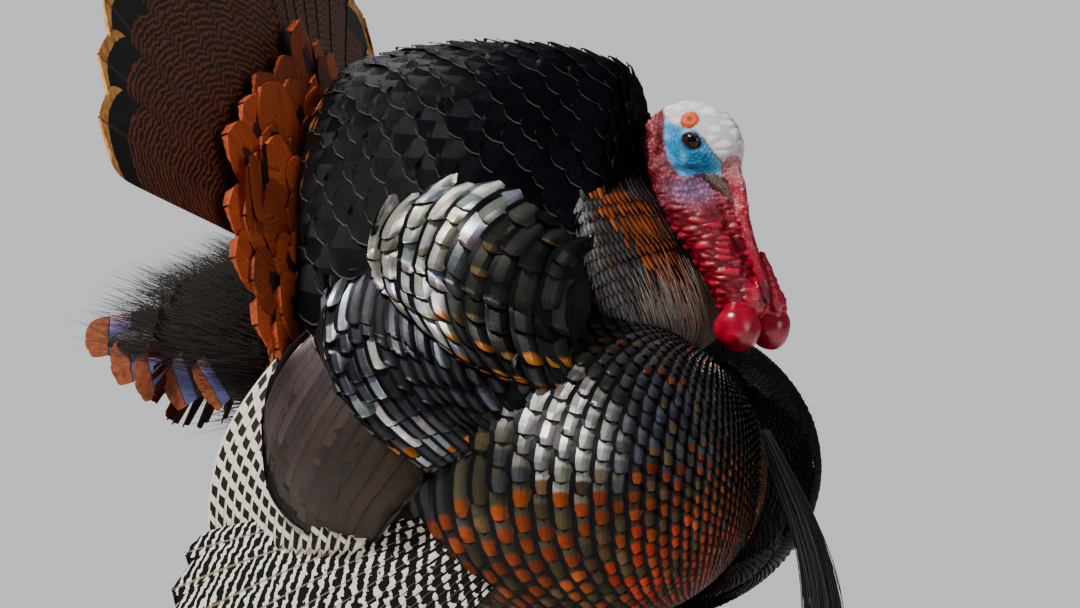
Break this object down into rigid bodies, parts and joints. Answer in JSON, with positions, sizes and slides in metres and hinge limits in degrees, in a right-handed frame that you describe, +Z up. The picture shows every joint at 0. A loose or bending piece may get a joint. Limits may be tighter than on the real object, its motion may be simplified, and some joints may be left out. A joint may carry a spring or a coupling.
{
  "type": "turkey",
  "caption": "Male wild turkey in full strut, a still life-size display model with raised tail fan, drooped wings and puffed breast, standing on both feet.",
  "frame": {"origin": "on the floor, under the middle of the bird's bounding box", "axes": "+X the way the bird faces, +Y to its left, +Z up"},
  "size_m": [0.6718, 0.7788, 0.8503],
  "materials": {
    "eye": "gloss",
    "bill": "satin",
    "red_skin": "satin",
    "claw": "satin",
    "head_skin": "satin",
    "plumage": "satin",
    "leg_skin": "matte",
    "brown": "satin",
    "breast": "satin",
    "beard": "satin",
    "silver": "satin",
    "barred": "matte",
    "rufous": "matte"
  },
  "bodies": {
    "root": {"eye_right": "eye", "eye_left": "eye", "bill_upper": "bill", "bill_lower": "bill", "snood": "red_skin", "wattle_right": "red_skin", "wattle_left": "red_skin", "throat_caruncles": "red_skin", "head": "head_skin", "neck_bare": "red_skin", "neck_feathered": "breast", "breast_right": "breast", "breast_left": "breast", "beard": "beard", "trunk": "plumage", "thigh_right": "brown", "thigh_left": "brown", "shank_right": "leg_skin", "shank_left": "leg_skin", "foot_right": "leg_skin", "foot_left": "leg_skin", "spur_right": "claw", "spur_left": "claw", "claw_inner_right": "claw", "claw_inner_left": "claw", "claw_middle_right": "claw", "claw_middle_left": "claw", "claw_outer_right": "claw", "claw_outer_left": "claw", "claw_hind_right": "claw", "claw_hind_left": "claw", "scapulars_right": "silver", "scapulars_left": "silver", "wing_coverts_right": "silver", "wing_coverts_left": "silver", "wing_tertials_right": "brown", "wing_tertials_left": "brown", "wing_secondaries_right": "barred", "wing_secondaries_left": "barred", "wing_primaries_right": "barred", "wing_primaries_left": "barred", "undertail_coverts": "brown", "tail_coverts": "rufous", "tail_fan_right": "rufous", "tail_fan_middle": "rufous", "tail_fan_left": "rufous"}
  },
  "joints": []
}
